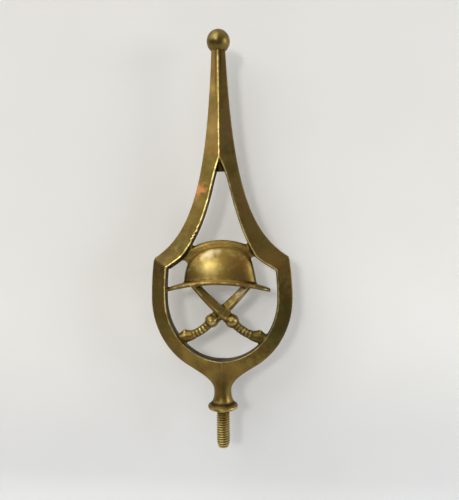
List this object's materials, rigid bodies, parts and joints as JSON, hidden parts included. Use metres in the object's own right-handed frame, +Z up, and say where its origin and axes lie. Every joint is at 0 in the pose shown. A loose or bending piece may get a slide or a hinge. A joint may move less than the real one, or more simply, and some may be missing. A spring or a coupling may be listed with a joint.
{
  "type": "flagpole finial",
  "caption": "Cast brass flagpole finial: a spear-shaped open frame with a ball tip, holding a brimmed helmet over crossed sabres, on a collar with a threaded stud.",
  "frame": {"origin": "centre of the collar's flat underside, where it seats on the pole's cap", "axes": "+Z up the stem to the ball, +X to the right of the front face, front faces -Y"},
  "size_m": [0.0836, 0.018, 0.2476],
  "materials": {
    "brass": "aged brass, olive and brown patina, edges worn bright"
  },
  "bodies": {
    "root": {"finial": "brass"}
  },
  "joints": []
}
